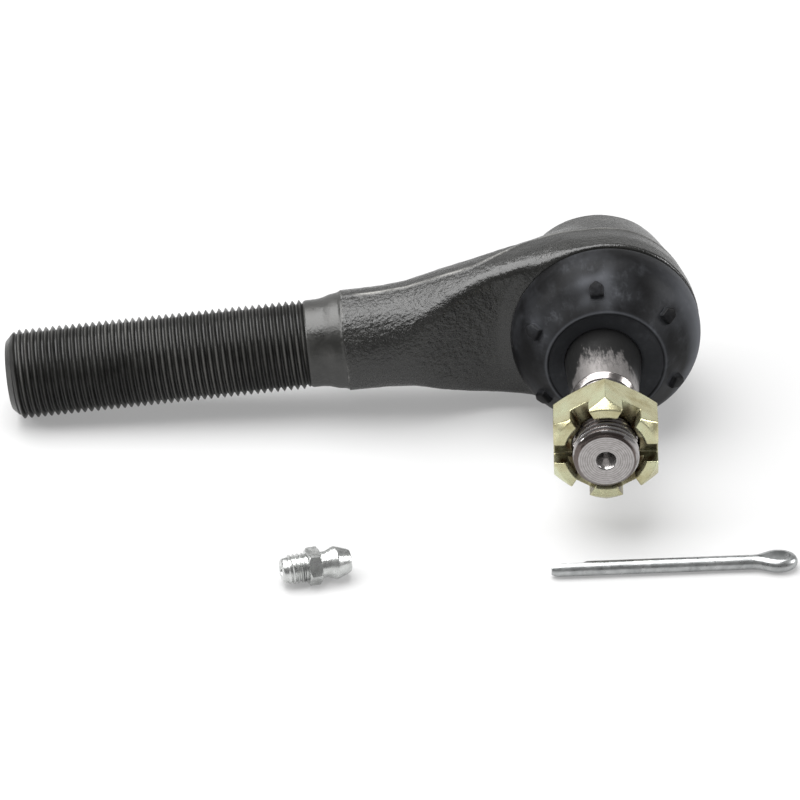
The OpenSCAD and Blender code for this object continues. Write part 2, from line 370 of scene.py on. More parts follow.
def ripple(points, seed, wavelength, terms=12):
    """Smooth seeded noise of about unit size, as a sum of waves."""
    rng = np.random.default_rng(seed)
    total = np.zeros(len(points))
    for _ in range(terms):
        k = rng.normal(size=3)
        k *= 2 * math.pi / (wavelength * rng.uniform(0.7, 1.5)) / np.linalg.norm(k)
        total += np.sin(points @ k + rng.uniform(0, 6.28))
    return total / math.sqrt(terms)


# ---------------------------------------------------------------- materials
def material(name, base, roughness, metallic=0.0, specular=0.5):
    """A new material, with its node tree's parts and its shader's plain values set."""
    mat = bpy.data.materials.new(name)
    mat.use_nodes = True
    nodes = mat.node_tree.nodes
    shader = nodes["Principled BSDF"]
    shader.inputs["Base Color"].default_value = (*base, 1)
    shader.inputs["Roughness"].default_value = roughness
    shader.inputs["Metallic"].default_value = metallic
    shader.inputs["Specular IOR Level"].default_value = specular
    return mat, nodes, mat.node_tree.links, shader


def noise(nodes, links, scale, detail=4.0, rough=0.55, stretch=None):
    """Solid noise; its scale is in cells a metre."""
    coord = nodes.new("ShaderNodeTexCoord")
    tex = nodes.new("ShaderNodeTexNoise")
    tex.inputs["Scale"].default_value = scale
    tex.inputs["Detail"].default_value = detail
    tex.inputs["Roughness"].default_value = rough
    mapping = nodes.new("ShaderNodeMapping")
    if stretch:
        mapping.inputs["Scale"].default_value = stretch
    links.new(coord.outputs["Object"], mapping.inputs["Vector"])
    links.new(mapping.outputs["Vector"], tex.inputs["Vector"])
    return tex.outputs["Fac"]


def ramp(nodes, links, source, stops):
    """A value turned into a grey or a colour; stops are pairs of a position and a value."""
    node = nodes.new("ShaderNodeValToRGB")
    elements = node.color_ramp.elements
    while len(elements) > 1:
        elements.remove(elements[0])
    for i, (pos, value) in enumerate(stops):
        e = elements[0] if i == 0 else elements.new(pos)
        e.position = pos
        e.color = (*value, 1) if isinstance(value, tuple) else (value, value, value, 1)
    links.new(source, node.inputs["Fac"])
    return node.outputs["Color"]


def mix(nodes, links, factor, a, b):
    """A blend from colour a to colour b; each is a constant or another node's output."""
    node = nodes.new("ShaderNodeMix")
    node.data_type = "RGBA"
    links.new(factor, node.inputs["Factor"])
    for socket, value in ((node.inputs[6], a), (node.inputs[7], b)):
        if isinstance(value, tuple):
            socket.default_value = (*value, 1)
        else:
            links.new(value, socket)
    return node.outputs[2]


def bump(nodes, links, shader, height, strength, distance, before=None):
    """Relief on a shader, on top of an earlier bump if one is given."""
    node = nodes.new("ShaderNodeBump")
    node.inputs["Strength"].default_value = strength
    node.inputs["Distance"].default_value = distance
    links.new(height, node.inputs["Height"])
    if before is not None:
        links.new(before, node.inputs["Normal"])
    links.new(node.outputs["Normal"], shader.inputs["Normal"])
    return node.outputs["Normal"]


def attribute(nodes, name):
    """A number that the mesh holds at each vertex."""
    node = nodes.new("ShaderNodeAttribute")
    node.attribute_name = name
    return node.outputs["Fac"]


def combine(nodes, links, operation, a, b, clamp=False):
    """A sum or product; b is a plain number or another node's output."""
    node = nodes.new("ShaderNodeMath")
    node.operation = operation
    node.use_clamp = clamp
    links.new(a, node.inputs[0])
    if isinstance(b, float):
        node.inputs[1].default_value = b
    else:
        links.new(b, node.inputs[1])
    return node.outputs[0]


def forged_material():
    """The oiled forging: mottled, with a fine grain and bare steel where it is worn."""
    mat, nodes, links, shader = material("forged_oiled", (0.03, 0.03, 0.028), 0.3, 0.0, 0.58)
    patches = noise(nodes, links, 160, 5, 0.6)
    fine = noise(nodes, links, 2200, 3, 0.65)
    base = ramp(nodes, links, patches, [(0.3, (0.0075, 0.0075, 0.007)), (0.7, (0.015, 0.015, 0.0138))])
    worn = mix(nodes, links, attribute(nodes, "worn"), base, (0.26, 0.255, 0.24))
    links.new(worn, shader.inputs["Base Color"])
    links.new(ramp(nodes, links, fine, [(0.3, 0.2), (0.72, 0.36)]), shader.inputs["Roughness"])
    grain = attribute(nodes, "grain")
    first = bump(nodes, links, shader, combine(nodes, links, "MULTIPLY", fine, grain), 0.5, 0.0003)
    coarse = noise(nodes, links, 1000, 2, 0.5)
    bump(nodes, links, shader, combine(nodes, links, "MULTIPLY", coarse, grain), 0.6, 0.0005, first)
    return mat


def turned_material():
    """The oiled neck, turned smooth."""
    mat, nodes, links, shader = material("turned_oiled", (0.05, 0.05, 0.047), 0.3, 0.3, 0.8)
    patches = noise(nodes, links, 260, 4, 0.6)
    links.new(ramp(nodes, links, patches, [(0.3, (0.015, 0.015, 0.0135)), (0.75, (0.038, 0.0375, 0.035))]),
              shader.inputs["Base Color"])
    links.new(ramp(nodes, links, patches, [(0.3, 0.26), (0.7, 0.42)]), shader.inputs["Roughness"])
    bump(nodes, links, shader, noise(nodes, links, 1300, 3, 0.6), 0.4, 0.0002)
    return mat


def thread_material():
    """The oiled shank thread, paler on its worn crests."""
    mat, nodes, links, shader = material("thread_oiled", (0.04, 0.04, 0.037), 0.34, 0.05, 0.3)
    patches = noise(nodes, links, 300, 4, 0.6)
    base = ramp(nodes, links, patches, [(0.3, (0.009, 0.009, 0.0083)), (0.75, (0.022, 0.022, 0.0205))])
    links.new(mix(nodes, links, attribute(nodes, "worn"), base, (0.12, 0.118, 0.112)),
              shader.inputs["Base Color"])
    links.new(ramp(nodes, links, patches, [(0.3, 0.3), (0.7, 0.46)]), shader.inputs["Roughness"])
    return mat


def boot_material():
    """Black rubber with a pale bloom in clouds, streaks and the places that the bloom attribute marks, which
    also holds a painted highlight down one side and on the mouth's edge.
    """
    mat, nodes, links, shader = material("boot_rubber", (0.014, 0.014, 0.016), 0.42, 0.0, 0.07)
    cloud = noise(nodes, links, 95, 5, 0.62)
    streak = noise(nodes, links, 420, 4, 0.7, (1.0, 0.25, 1.0))
    haze = ramp(nodes, links, cloud, [(0.44, 0.0), (0.72, 1.0)])
    streaks = ramp(nodes, links, streak, [(0.5, 0.25), (0.75, 1.0)])
    hazy = combine(nodes, links, "MULTIPLY", combine(nodes, links, "MULTIPLY", haze, streaks), 0.5)
    # The bloom attribute holds bloom and also a painted highlight down one side and on the mouth's edge.
    bloom = combine(nodes, links, "ADD", hazy, attribute(nodes, "bloom"), clamp=True)
    links.new(mix(nodes, links, bloom, (0.0062, 0.0062, 0.0066), (0.105, 0.11, 0.122)),
              shader.inputs["Base Color"])
    links.new(ramp(nodes, links, bloom, [(0.0, 0.4), (1.0, 0.6)]), shader.inputs["Roughness"])
    bump(nodes, links, shader, noise(nodes, links, 1400, 3, 0.6), 0.18, 0.0001)
    return mat


def stud_material():
    """The stud's bare steel, smeared with black grease near the boot and darkened by painted shade down its
    right side.
    """
    mat, nodes, links, shader = material("stud_steel", (0.5, 0.475, 0.465), 0.4, 0.9)
    # The grease attribute holds black grease and also painted shade down the stud's right side.
    grease = attribute(nodes, "grease")
    smear = noise(nodes, links, 1100, 6, 0.85, (1.0, 0.3, 1.0))
    edge = combine(nodes, links, "ADD", grease, smear)
    black = ramp(nodes, links, edge, [(0.74, 0.0), (1.14, 1.0)])
    clean = ramp(nodes, links, noise(nodes, links, 800, 4, 0.6, (1.0, 0.15, 1.0)),
                 [(0.3, (0.27, 0.255, 0.248)), (0.7, (0.37, 0.352, 0.345))])
    links.new(mix(nodes, links, black, clean, (0.012, 0.012, 0.012)), shader.inputs["Base Color"])
    links.new(ramp(nodes, links, black, [(0.0, 0.42), (1.0, 0.3)]), shader.inputs["Roughness"])
    links.new(ramp(nodes, links, black, [(0.0, 0.9), (1.0, 0.1)]), shader.inputs["Metallic"])
    bump(nodes, links, shader, noise(nodes, links, 2600, 2, 0.5, (1.0, 0.3, 1.0)), 0.12, 0.0001)
    return mat


def stud_end_material():
    """The turned end face and the thread's bright crests, with dark brown painted shade where recess marks
    the thread's roots, the thread behind and inside the nut and the end chamfer.
    """
    mat, nodes, links, shader = material("stud_turned", (0.4, 0.39, 0.385), 0.22, 0.95)
    metal = ramp(nodes, links, noise(nodes, links, 1200, 3, 0.6),
                 [(0.3, (0.40, 0.385, 0.38)), (0.7, (0.53, 0.515, 0.51))])
    # recess mixes in dark brown painted shade, turning marks and a darker end face and ring.
    links.new(mix(nodes, links, attribute(nodes, "recess"), metal, (0.045, 0.022, 0.014)),
              shader.inputs["Base Color"])
    return mat


def zinc_material(name, dark, light, rough):
    """Bright plating, in patches between two tones."""
    mat, nodes, links, shader = material(name, light, rough, 0.92)
    patches = noise(nodes, links, 330, 5, 0.6)
    links.new(ramp(nodes, links, patches, [(0.32, dark), (0.66, light)]), shader.inputs["Base Color"])
    links.new(ramp(nodes, links, noise(nodes, links, 900, 4, 0.6), [(0.3, rough * 0.8), (0.7, rough * 1.35)]),
              shader.inputs["Roughness"])
    bump(nodes, links, shader, noise(nodes, links, 1800, 3, 0.6), 0.1, 0.0001)
    return mat


def nut_material():
    """Yellow passivated zinc, with dark brown painted shade where recess marks the bore and the slots."""
    mat, nodes, links, shader = material("yellow_zinc", (0.66, 0.64, 0.42), 0.34, 0.85)
    patches = noise(nodes, links, 210, 5, 0.6)
    tint = ramp(nodes, links, patches, [(0.30, (0.40, 0.36, 0.195)), (0.5, (0.53, 0.51, 0.325)),
                                        (0.72, (0.57, 0.60, 0.40))])
    # recess marks painted shade in the bore and the slots.
    recess = attribute(nodes, "recess")
    links.new(mix(nodes, links, recess, tint, (0.055, 0.032, 0.012)), shader.inputs["Base Color"])
    links.new(ramp(nodes, links, noise(nodes, links, 700, 4, 0.6), [(0.3, 0.2), (0.7, 0.32)]),
              shader.inputs["Roughness"])
    bump(nodes, links, shader, noise(nodes, links, 1500, 3, 0.6), 0.15, 0.0001)
    return mat


def plain_material(name, dark, light, rough, metallic):
    """The finish of a piece inside the joint, in patches between two tones."""
    mat, nodes, links, shader = material(name, light, rough, metallic)
    links.new(ramp(nodes, links, noise(nodes, links, 500, 4, 0.6), [(0.3, dark), (0.7, light)]),
              shader.inputs["Base Color"])
    links.new(ramp(nodes, links, noise(nodes, links, 1000, 3, 0.6),
                   [(0.3, rough * 0.85), (0.7, rough * 1.25)]), shader.inputs["Roughness"])
    bump(nodes, links, shader, noise(nodes, links, 2000, 3, 0.6), 0.15, 0.0001)
    return mat


def set_attribute(obj, name, values):
    """A number at each vertex, which the object's material reads by name."""
    a = obj.data.attributes.new(name, "FLOAT", "POINT")
    a.data.foreach_set("value", np.asarray(values, np.float32))


def local_points(obj, basis, at=ORIGIN):
    """An object's vertices in a part's own frame, in mm."""
    co = np.empty(len(obj.data.vertices) * 3)
    obj.data.vertices.foreach_get("co", co)
    return (co.reshape(-1, 3) / MM - np.asarray(at)) @ basis


MAT = {
    "forged": forged_material(), "turned": turned_material(), "thread": thread_material(),
    "boot": boot_material(), "stud": stud_material(), "stud_end": stud_end_material(),
    "nut": nut_material(),
    "zinc": zinc_material("bright_zinc", (0.46, 0.47, 0.46), (0.70, 0.71, 0.70), 0.26),
    "cotter": zinc_material("cotter_steel", (0.30, 0.31, 0.31), (0.50, 0.51, 0.51), 0.3),
    "polymer": plain_material("bearing_polymer", (0.70, 0.67, 0.58), (0.80, 0.78, 0.70), 0.4, 0.0),
    "spring": plain_material("spring_steel", (0.34, 0.35, 0.37), (0.48, 0.49, 0.51), 0.32, 0.95),
    "cover": plain_material("cover_steel", (0.36, 0.37, 0.38), (0.52, 0.53, 0.54), 0.36, 0.9),
}


# ---------------------------------------------------------------- housing
def flash_depth(l):
    """Where the forging's parting line runs, in mm behind the shank's axis."""
    t = np.clip((30 - l) / 16, 0, 1)
    return 4.5 * t * t * (3 - 2 * t)


# Outlines of the head and of the hole through it, as radius against height on the socket's axis.
HEAD = soften([(0, BOSS_S), (BOSS_R - 0.5, BOSS_S), (BOSS_R, BOSS_S - 0.5), (BOSS_R, RIM_S),
               (RIM_R - 0.45, RIM_S), (RIM_R, RIM_S - 0.45), (RIM_R - 0.2, 1), (RIM_R - 0.5, -0.6),
               (BACK_R + 0.9, -BACK_S + 5), (BACK_R - 0.3, -BACK_S + 0.2),
               (BACK_R - 1.6, -BACK_S - 0.6), (0, -BACK_S - 0.6)],
              [0, 0.2, 0.2, 0.1, 0.2, 0.3, 2, 2, 4, 1.2, 0.6, 0], 3)
BORE = [(0, -BACK_S - 4), (COVER_R - 1.9, -BACK_S - 4), (COVER_R - 1.9, COVER_BACK),
        (COVER_R, COVER_BACK), (COVER_R, COVER_FRONT), (BORE_R, COVER_FRONT), (BORE_R, 1),
        (OPENING_R, 6.7), (12.8, BOSS_S + 1), (0, BOSS_S + 1)]


def eased(l, start, stop, a, b):
    """A length that goes from a to b without a crease."""
    t = np.clip((l - start) / (stop - start), 0, 1)
    return a + (b - a) * t * t * (3 - 2 * t)


# Where the web's flat faces end beside the round stretch, and the height and width of the parting
# line's ridge.
WEB_END_R = 12.7
SEAM_H = 0.24
SEAM_W = 0.38


def forging(p):
    """Signed distance to the forging: shank, widening web, parting line and hollow head."""
    q = (p - np.array(SHANK_AT)) @ SHANK
    up, across, l = q[:, 0], q[:, 1], q[:, 2]
    rho = np.hypot(up, across)
    radius = np.interp(l, [-30, FLARE_END_L, BEAM_L - 3, BEAM_L + 3, SHOULDER_L + 10],
                       [27, FLARE_END_R, ROOT_R + 0.62, ROOT_R + 0.04, ROOT_R - 0.08])
    rough = 0.05 * ripple(p, 3, 8) + 0.022 * ripple(p, 4, 2.4)
    grip = np.clip((l - 6) / 14, 0, 1)
    seam = SEAM_H * np.exp(-((across - flash_depth(l)) / SEAM_W) ** 2)
    d = (rho - radius) * 0.97
    front = (-across - eased(l, BEAM_L - 24, BEAM_L + 6, WEB_FRONT, WEB_END_R)) * 0.96
    back = across - eased(l, BEAM_L - 18, BEAM_L + 5, WEB_BACK, WEB_END_R)
    d = smax(smax(d, front, 2.2), back, 4.0)
    d = d - seam * grip - rough * grip
    d = np.maximum(smax(d, 3 - l, 9.0), l - (SHOULDER_L - 0.15))
    s, r = -p[:, 1], np.hypot(p[:, 0], p[:, 2])
    head_seam = 0.2 * np.exp(-((p[:, 1] - 4.5) / 0.4) ** 2)
    head = outline_distance(r, s, HEAD) - head_seam * (r > 15) - 0.03 * ripple(p, 5, 7) * (r > 15)
    d = smin(d, head, 3.2)
    return np.maximum(d, -outline_distance(r, s, BORE))


def forging_wear(q, r):
    """How far the forging is worn to bare steel, from its points on the shank's and socket's axes."""
    seam = np.exp(-((q[:, 1] - flash_depth(q[:, 2])) / 0.34) ** 2)
    level = 0.55 + 0.45 * ripple(q, 8, 9)
    head = np.clip((26 - q[:, 2]) / 20, 0, 1)
    worn = seam * level * (1 - 0.45 * head) * (np.abs(q[:, 0]) > 8)
    cut = (np.hypot(r[:, 0], r[:, 1]) < COVER_R + 0.3) & (r[:, 2] < COVER_FRONT + 1)
    worn = np.clip(worn, 0, 1) + 0.25 * cut
    edge_ring = np.exp(-((q[:, 2] - SHOULDER_L + 0.15) / 0.25) ** 2) * 0.55
    return np.clip(worn + edge_ring * (0.5 + 0.5 * ripple(q, 9, 3)), 0, 1)


def build_housing():
    """The forging, its turned neck, the shank's thread and the face of its end."""
    step = 0.42
    forged = net(forging, (-SHOULDER_L - 2, -12.5, -RIM_R - 1.5), (RIM_R + 1.5, 19, RIM_R + 1.5), step)
    neck = turned([(6, SHOULDER_L - 1.0), (ROOT_R - 0.2, SHOULDER_L - 1.0),
                   (ROOT_R - 0.16, SHOULDER_L - 0.1), (ROOT_R - 0.5, SHOULDER_L + 0.5),
                   (NECK_R + 0.75, SHOULDER_L + 2.3), (NECK_R + 0.2, SHOULDER_L + 4.0),
                   (NECK_R, SHOULDER_L + 5.6), (NECK_R, LAST_L - 1.6), (NECK_R - 0.35, LAST_L - 1.0),
                   (7.5, LAST_L - 0.7)], 160, 0.5, 5)
    neck = (placed(neck[0], SHANK, SHANK_AT), neck[1])

    thread_start = LAST_L - 1.4
    end_cone = SHANK_L - 1.25
    face_r = 7.75

    def limit(s):
        chamfer = face_r + (SHANK_L - s)
        start = NECK_R - 0.75 + np.clip((s - thread_start) / 1.1, 0, 1) * 1.2
        return np.minimum(chamfer, start)

    thread = helix(thread_profile(SHANK_R, THREAD_DEPTH, PITCH), PITCH, thread_start, end_cone,
                   limit, 128, phase=1.2)
    thread = (placed(thread[0], SHANK, SHANK_AT), thread[1])
    tip = turned([(face_r + 1.25, end_cone), (face_r, SHANK_L), (face_r - 0.5, SHANK_L),
                  (2.1, SHANK_L), (1.1, SHANK_L - 1.4), (0.0, SHANK_L - 1.7)], 128, 0.1, 3)
    tip = (placed(tip[0], SHANK, SHANK_AT), tip[1])

    parts = [("forged", forged), ("turned", neck), ("thread", thread), ("turned", tip)]
    objects = []
    for i, (which, (p, f)) in enumerate(parts):
        o = mesh_object(f"housing_{i}", p, f, 50 if which == "forged" else 38)
        o.data.materials.append(MAT[which])
        q = local_points(o, SHANK, SHANK_AT)
        if which == "forged":
            set_attribute(o, "worn", forging_wear(q, local_points(o, SOCKET)))
            set_attribute(o, "grain", np.clip((q[:, 2] - 14) / 22, 0.4, 1))
        else:
            crest = np.clip((np.hypot(q[:, 0], q[:, 1]) - (SHANK_R - 0.16)) / 0.1, 0, 1)
            set_attribute(o, "worn", crest * np.clip(0.32 + 0.3 * ripple(q, 6, 16), 0, 1))
        objects.append(o)
    weld_objects("housing_detailed", objects, "housing", "housing")


# ---------------------------------------------------------------- dust boot
def boot_place(points):
    """Points on the boot's own axis, which leaves the socket's axis and joins the stud's."""
    p = np.asarray(points, float)
    lip = np.clip((14.5 - np.hypot(p[:, 0], p[:, 1])) / 3, 0, 1)
    dome = np.clip((p[:, 2] - 11) / 11, 0, 1)
    inner = np.clip((p[:, 2] - BOOT_BEND[0]) / 4.5, 0, 1)
    bore = np.clip((12.0 - np.hypot(p[:, 0], p[:, 1])) / 3, 0, 1)
    lean = BOOT_LEAN + (SWING - BOOT_LEAN) * bore
    angle = -np.radians(lean) * (lip * inner * inner * (3 - 2 * inner)
                                 + (1 - lip) * dome * dome * (3 - 2 * dome))
    x, y, z = p[:, 0], -p[:, 2], p[:, 1]
    c, s = np.cos(angle), np.sin(angle)
    return np.stack([x * c - y * s, x * s + y * c, z], 1)


def nub_angles():
    """Where the nubs stand round the boot."""
    return [math.radians(NUB_TURN + 360 / NUBS * i) for i in range(NUBS)]


def boot_bloom_and_highlight(q):
    """How pale the rubber is: bloom round the nubs and inside the mouth, and a painted highlight down one
    side and on the mouth's edge.
    """
    angle = np.arctan2(q[:, 1], q[:, 0])
    r = np.hypot(q[:, 0], q[:, 1])
    bloom = np.zeros(len(q))
    for a, amount in zip(nub_angles(), (0.8, 0.3, 0.2, 0.2, 0.3, 0.3)):
        away = np.abs((angle - a + math.pi) % (2 * math.pi) - math.pi) * 16
        bloom += amount * np.exp(-(away / 3.6) ** 2 - ((r - 17.0) / 2.6) ** 2)
    bloom *= np.clip(0.75 + 0.6 * ripple(q, 12, 5), 0, 1.3)
    # Painted highlight down the boot's right side.
    bloom += np.clip(np.cos(angle - math.radians(-5)), 0, 1) ** 3 * np.clip((r - 18) / 3, 0, 1)
    tilt = math.radians(NUB_TILT)
    above = (r - NUB_R) * math.sin(tilt) + (q[:, 2] - NUB_S) * math.cos(tilt)
    bloom = np.where(above > 1.85, 0, bloom)
    # Painted highlight: a thin pale line along the mouth's edge.
    mouth = np.exp(-((r - MOUTH_R - 0.15) / 0.3) ** 2) * (q[:, 2] > 20.2)
    recess = (r < MOUTH_R - 0.45) & (q[:, 2] > 19.2)
    return np.where(recess, 0.24, np.clip(bloom + 0.45 * mouth, 0, 1))


def build_boot():
    """The boot's shell, bowl, lip and bore as one closed outline turned round, and its nubs."""
    outer = [(BOSS_R + 1.1, 5.75), (20.3, 5.72), (20.95, 6.2), (21.15, 7.2), (21.1, 9.2), (20.7, 11.4),
             (19.8, 13.4), (18.5, 15.2), (16.9, 16.9), (15.4, 18.5), (14.2, 19.8), (MOUTH_R + 0.55, 20.5),
             (MOUTH_R + 0.12, MOUTH_S - 0.02), (MOUTH_R - 0.2, MOUTH_S), (MOUTH_R - 0.4, 20.6),
             (12.2, 20.42), (11.0, 20.25), (9.8, 20.1), (9.0, 19.98), (8.42, 19.85), (8.47, 19.3),
             (8.66, 17.6), (8.98, 14.9), (9.3, 14.55), (11.2, 14.25), (13.8, 14.3), (16.0, 13.1),
             (17.5, 11.4), (18.6, 10.6), (BOSS_R + 1.1, 10.0)]
    radii = [0.7] * 11 + [0.35, 0.14, 0.14, 0.3] + [0.7] * 4 + [0.2] * 3 + [0.7] * 8
    flat, faces = lattice(lathe(soften(outer, radii, 4, True), 192), along=True)
    p, f = join_parts([(boot_place(flat), faces)] + [nub(a) for a in nub_angles()])
    o = mesh_object("dust_boot_skin", p, f, 55)
    o.data.materials.append(MAT["boot"])
    # bloom holds bloom and the painted highlights down one side and on the mouth's edge.
    set_attribute(o, "bloom", boot_bloom_and_highlight(local_points(o, BOOT)))
    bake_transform(o)
    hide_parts("dust_boot")


def nub(a):
    """A small moulded lug with a house-shaped end, standing on the boot at angle a."""
    half, foot, wall, point = 1.5, -1.7, 0.85, 1.95
    outline = [(-half, foot), (half, foot), (half, wall), (0, point), (-half, wall)]
    outline = soften(outline, 0.45, 4, True)
    levels = [(-3.2, 1.25), (0.9, 1.14), (1.4, 1.04), (2.3, 1.0), (2.62, 0.92), (2.7, 0.78), (2.68, 0.0)]
    tilt = math.radians(NUB_TILT)
    radial = np.array([math.cos(a), math.sin(a), 0])
    across = np.array([-math.sin(a), math.cos(a), 0])
    out = radial * math.sin(tilt) + np.array([0, 0, math.cos(tilt)])
    rise = np.cross(across, out)
    if rise @ radial < 0:
        rise = -rise
    centre = radial * NUB_R + np.array([0, 0, NUB_S])
    rings = np.array([[centre + out * h + across * x * k + rise * y * k for x, y in outline]
                      for h, k in levels])
    p, f = lattice(rings)
    return placed(p, BOOT), f


# ---------------------------------------------------------------- stud
# Each side's pocket ends this far from the stud's axis. Points of the thread this far inside or
# outside the pocket's rim are drawn onto it.
POCKET_END = 1.2
RIM_IN = 0.3
RIM_OUT = 0.22


def drilled(points):
    """The thread's points with the cotter pin's cross hole pressed into them from both sides."""
    p = np.array(points, float)
    along = np.array([math.cos(math.radians(NUT_TURN)), math.sin(math.radians(NUT_TURN)), 0])
    across = np.array([-along[1], along[0], 0])
    deep, u, v = p @ along, p @ across, p[:, 2] - HOLE_S
    rim = np.hypot(u, v)
    near = (rim < PIN_HOLE_R + RIM_OUT) & (rim > PIN_HOLE_R - RIM_IN)
    grow = np.where(near, PIN_HOLE_R / np.maximum(rim, 1e-6), 1.0)
    u, v = u * grow, v * grow
    inside = rim <= PIN_HOLE_R - RIM_IN
    deep = np.where(inside, np.sign(deep) * POCKET_END, deep)
    return np.outer(deep, along) + np.outer(u, across) + np.outer(v + HOLE_S, (0, 0, 1))


def stud_grease_and_shade(q):
    """How greasy the stud is, from its points on its own axis: most by the boot, least at the nut, with black
    grease down its left side and painted shade down its right side.
    """
    g = np.interp(q[:, 2], [0, 17, 20.5, 22, 25, 27.5, 29.5, 70],
                  [0.95, 0.9, 0.74, 0.62, 0.5, 0.4, 0.15, 0.05])
    left = np.clip((-q[:, 0] - 5.6) / 1.6, 0, 1) * np.clip((37 - q[:, 2]) / 3, 0, 1)
    # The left term is black grease; the right term is painted shade down the stud's right side.
    right = np.clip((q[:, 0] - 4.3) / 2, 0, 1) * np.clip((32 - q[:, 2]) / 4, 0, 1)
    return g + 0.05 * ripple(q, 21, 9) + 0.7 * left + 0.45 * right


def stud_marks_and_shade(q, ring):
    """How dark the turned end is: painted shade in the thread's roots, along the thread behind and inside the
    nut and on the end chamfer, turning marks, a darker end face and a darker ring at the thread's start."""
    r = np.hypot(q[:, 0], q[:, 1])
    # Painted shade in the thread's roots, and along the thread behind and inside the nut.
    deep = np.clip((STUD_R - 0.12 - r) / 0.5, 0, 1) * np.clip((STUD_L - 0.7 - q[:, 2]) / 1.2, 0, 1)
    deep = np.maximum(deep, 0.5 * np.clip((NUT_S + NUT_H - 0.6 - q[:, 2]) / 1.6, 0, 1))
    deep *= (q[:, 2] > THREAD_S + 0.8) * (r > 4)
    end = q[:, 2] > STUD_L - 0.1
    marks = (0.5 + 0.5 * np.sin(2 * math.pi * r / 0.48)) * end * (r > 2.35)
    # The last term of flat is painted shade on the end chamfer.
    flat = 0.14 * end + 0.45 * ring + 0.8 * (q[:, 2] > STUD_L - 0.9) * (r > 5.92)
    return deep + 0.3 * marks + flat


def build_stud():
    """The ball and tapered shank, the ring before the thread, the thread and the stud's end."""
    body = [(0, -11.6), (4.3, -11.62), (4.75, -11.56)]
    for t in np.linspace(math.radians(-67.5), math.radians(51), 40):
        body.append((BALL_R * math.cos(t), BALL_R * math.sin(t)))
    body += [(7.75, 10.4), (STUD_NECK_R, 11.5), (STUD_NECK_R, 15.6), (8.0, 16.9), (TAPER_R, 18.4),
             (TAPER_SMALL_R, THREAD_S - 1.85)]
    shank = lattice(lathe(soften(body, [0.1] * 43 + [0.6] * 2 + [0.8] * 2 + [0.6] * 2, 3), 160))
    ring = turned([(TAPER_SMALL_R, THREAD_S - 1.85), (TAPER_SMALL_R - 0.04, THREAD_S - 1.7),
                   (6.5, THREAD_S - 0.5), (6.1, THREAD_S - 0.2), (6.05, THREAD_S + 0.4),
                   (5.2, THREAD_S + 0.8)], 160, 0.15, 3)

    crest_r = STUD_R - 0.03
    thread_start = THREAD_S + 0.1
    thread_end = STUD_L - 0.4

    def limit(s):
        start = 6.0 + np.clip((s - thread_start) / 0.9, 0, 1) * 1.2
        return np.minimum(np.minimum(6.2 + (thread_end - s) * 1.4, crest_r), start)

    profile = thread_profile(crest_r, 0.92, STUD_PITCH, crest=0.3, rounding=0.15)
    thread = helix(profile, STUD_PITCH, thread_start, thread_end, limit, 192, phase=0.4)
    thread = (drilled(thread[0]), thread[1])
    face = [(r, STUD_L - 0.018 * (i % 2)) for i, r in enumerate(np.arange(5.7, 2.5, -0.16))]
    tip = turned([(6.25, thread_end), (5.98, STUD_L - 0.14), (5.86, STUD_L - 0.03)] + face
                 + [(2.3, STUD_L), (2.12, STUD_L - 0.14), (0.78, STUD_L - 2.5), (0.75, STUD_L - 3.8),
                    (0, STUD_L - 4.2)], 128, 0.06, 2)
    objects = []
    for i, (which, (p, f)) in enumerate((("stud", shank), ("stud_end", ring), ("stud_end", thread),
                                         ("stud_end", tip))):
        o = mesh_object(f"stud_{i}", placed(p, STUD), f, 40)
        o.data.materials.append(MAT[which])
        q = local_points(o, STUD)
        # grease holds black grease and painted shade down the stud's right side.
        set_attribute(o, "grease", stud_grease_and_shade(q))
        # recess holds painted shade, turning marks and the darker end face and ring.
        set_attribute(o, "recess", stud_marks_and_shade(q, i == 1) * (which == "stud_end"))
        objects.append(o)
    weld_objects("stud_detailed", objects, "stud", "ball_stud")


# ---------------------------------------------------------------- castle nut
# The radius of the nut's edges, the slope of its crown's cone, and the radius of the wider bore at
# its top.
NUT_ROUND = 0.16
NUT_SLOPE = 1.12
COUNTERBORE_R = 8.4
HEX_TURNS = (0, 60, 120)


def beside(q, degrees):
    """How far points are from the plane through the nut's axis at that angle."""
    a = math.radians(degrees)
    return np.abs(-q[:, 0] * math.sin(a) + q[:, 1] * math.cos(a))


def nut_field(q):
    """Signed distance to the castle nut, standing on z = 0 with its slots at the top."""
    s = q[:, 2]
    r = np.hypot(q[:, 0], q[:, 1])
    flats = np.full(len(q), -1e9)
    for a in HEX_TURNS:
        c, d = math.cos(math.radians(a)), math.sin(math.radians(a))
        flats = np.maximum(flats, np.abs(q[:, 0] * c + q[:, 1] * d) - NUT_AF / 2)
    d = smax(flats, s - NUT_H, NUT_ROUND)
    d = smax(d, -s, NUT_ROUND)
    crown = (r - CROWN_R - (NUT_H - s) / NUT_SLOPE) * NUT_SLOPE / math.hypot(1, NUT_SLOPE)
    back_chamfer = (r - NUT_AF / math.sqrt(3) + 1.5 - s * 1.6) * 0.53
    bore = r - (STUD_R + 0.06)
    counterbore = np.maximum(r - COUNTERBORE_R, (NUT_H - 2.6) - s)
    lead = (r - COUNTERBORE_R - (s - (NUT_H - 0.6)) * 0.8) * 0.78
    lead = np.maximum(lead, (NUT_H - 0.9) - s)
    for face in (crown, back_chamfer, -bore, -counterbore, -lead):
        d = smax(d, face, NUT_ROUND)
    slot_floor = smin(s - (NUT_H - SLOT_D), 3.0, 0.1)
    for a in HEX_TURNS:
        slot = smax(beside(q, a) - SLOT_W / 2, -slot_floor, 0.5)
        d = smax(d, -slot, NUT_ROUND)
    return d


